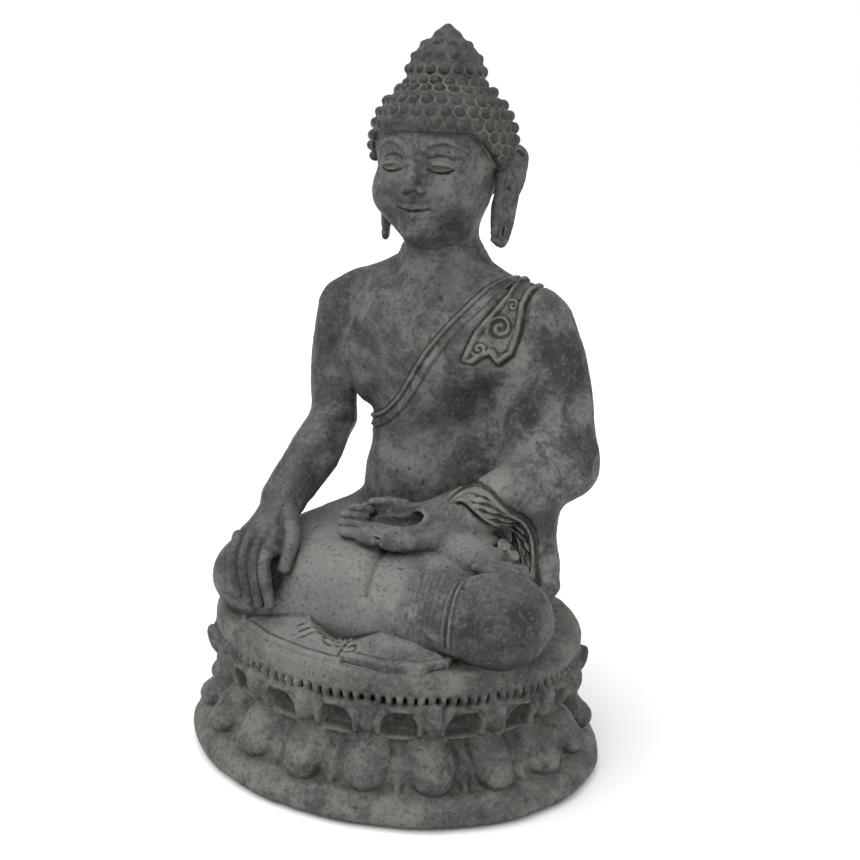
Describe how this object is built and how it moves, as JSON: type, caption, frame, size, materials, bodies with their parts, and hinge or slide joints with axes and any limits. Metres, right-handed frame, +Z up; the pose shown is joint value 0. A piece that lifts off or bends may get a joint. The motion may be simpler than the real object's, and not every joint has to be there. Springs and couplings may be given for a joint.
{
  "type": "seated buddha statue",
  "caption": "Cast stone Buddha seated cross-legged on an oval double-lotus pedestal, one hand reaching to the ground, for display on a shelf or altar.",
  "frame": {"origin": "centre of the pedestal's flat underside", "axes": "+Z up, the figure faces -Y, its own left side is +X"},
  "size_m": [0.2142, 0.184, 0.36],
  "materials": {
    "pedestal_stone": "matte, dusty grey cast stone with pale wear on raised edges",
    "figure_stone": "matte dark grey cast stone with soft sheen on worn skin",
    "robe_stone": "matte dark grey cast stone with tan dust in the folds",
    "hair_stone": "matte dark grey cast stone, pale between the curls"
  },
  "bodies": {
    "root": {"foot": "pedestal_stone", "lotus_core": "pedestal_stone", "lower_petals": "pedestal_stone", "lower_petal_tips": "pedestal_stone", "upper_petals": "pedestal_stone", "stamen_band": "pedestal_stone", "seat_slab": "pedestal_stone", "torso": "figure_stone", "neck": "figure_stone", "head": "figure_stone", "left_ear": "figure_stone", "right_ear": "figure_stone", "hair_cap": "hair_stone", "hair_curls": "hair_stone", "topknot": "hair_stone", "topknot_curls": "hair_stone", "topknot_tip": "hair_stone", "left_leg": "robe_stone", "right_leg": "robe_stone", "right_foot": "figure_stone", "robe_flap_left": "robe_stone", "robe_flap_right": "robe_stone", "ankle_hem": "robe_stone", "robe_hem": "robe_stone", "shoulder_sash": "robe_stone", "robe_mantle": "robe_stone", "sleeve_drape": "robe_stone", "sleeve_band": "robe_stone", "left_upper_arm": "robe_stone", "left_forearm": "robe_stone", "left_hand": "figure_stone", "right_upper_arm": "figure_stone", "right_forearm": "figure_stone", "right_hand": "figure_stone"}
  },
  "joints": []
}
